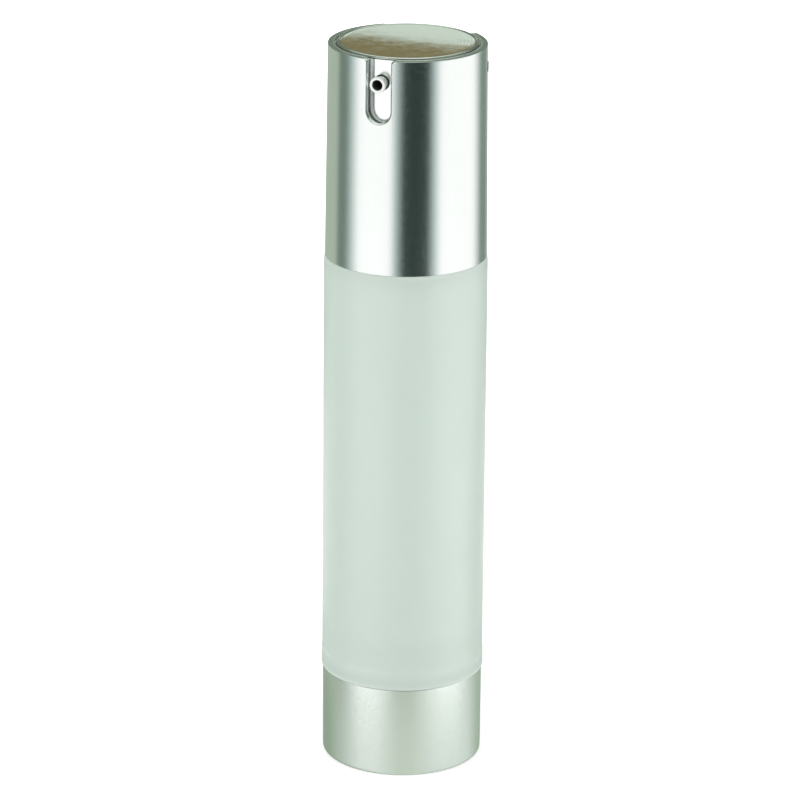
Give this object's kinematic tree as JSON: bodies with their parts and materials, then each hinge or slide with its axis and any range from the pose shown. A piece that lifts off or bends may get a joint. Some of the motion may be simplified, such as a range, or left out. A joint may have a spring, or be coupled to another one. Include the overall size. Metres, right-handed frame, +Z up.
{
  "type": "airless pump bottle",
  "caption": "Slim capless airless bottle: frosted barrel with a rising follower, satin metal base and collar, press-down disc button and a side nozzle in a slot.",
  "frame": {"origin": "centre of the foot, on the surface that the bottle stands on", "axes": "+Z up the bottle's axis, -Y the way the nozzle points, +X to the right seen from the nozzle's side"},
  "size_m": [0.0332, 0.0332, 0.1508],
  "materials": {
    "satin_metal": "satin anodised, fine grain",
    "bright_metal": "bright, near mirror",
    "frosted_barrel": "frosted, translucent",
    "white_plastic": "smooth moulded",
    "natural_plastic": "natural, slightly clear",
    "seal_rubber": "soft, matt",
    "spring_steel": "drawn wire and polished ball"
  },
  "bodies": {
    "bottle": {"base_shell": "satin_metal", "base_plug": "white_plastic", "barrel": "frosted_barrel", "neck_gasket": "seal_rubber", "pump_closure": "white_plastic", "pump_housing": "natural_plastic", "housing_cap": "white_plastic", "return_spring": "spring_steel", "collar_liner": "white_plastic", "collar_shell": "satin_metal"},
    "follower": {"follower_piston": "white_plastic"},
    "valve_ball": {"inlet_ball": "spring_steel"},
    "button": {"actuator_core": "white_plastic", "actuator_skirt": "bright_metal", "actuator_disc": "bright_metal", "nozzle_tip": "bright_metal", "upper_stem": "white_plastic", "lower_stem": "white_plastic"},
    "sliding_seal": {"seal_piston": "seal_rubber"}
  },
  "joints": [
    {"name": "button_press", "type": "slide", "parent": "bottle", "child": "button", "axis": [0, 0, -1], "range_m": [0, 0.0054], "stiffness_N_per_m": 1200, "springref_m": -0.005, "deforming": ["return_spring"]},
    {"name": "follower_rise", "type": "slide", "parent": "bottle", "child": "follower", "axis": [0, 0, 1], "range_m": [0, 0.0716]},
    {"name": "ball_lift", "type": "slide", "parent": "bottle", "child": "valve_ball", "axis": [0, 0, 1], "range_m": [0, 0.0006]},
    {"name": "seal_shift", "type": "slide", "parent": "button", "child": "sliding_seal", "axis": [0, 0, 1], "range_m": [0, 0.0006]}
  ]
}
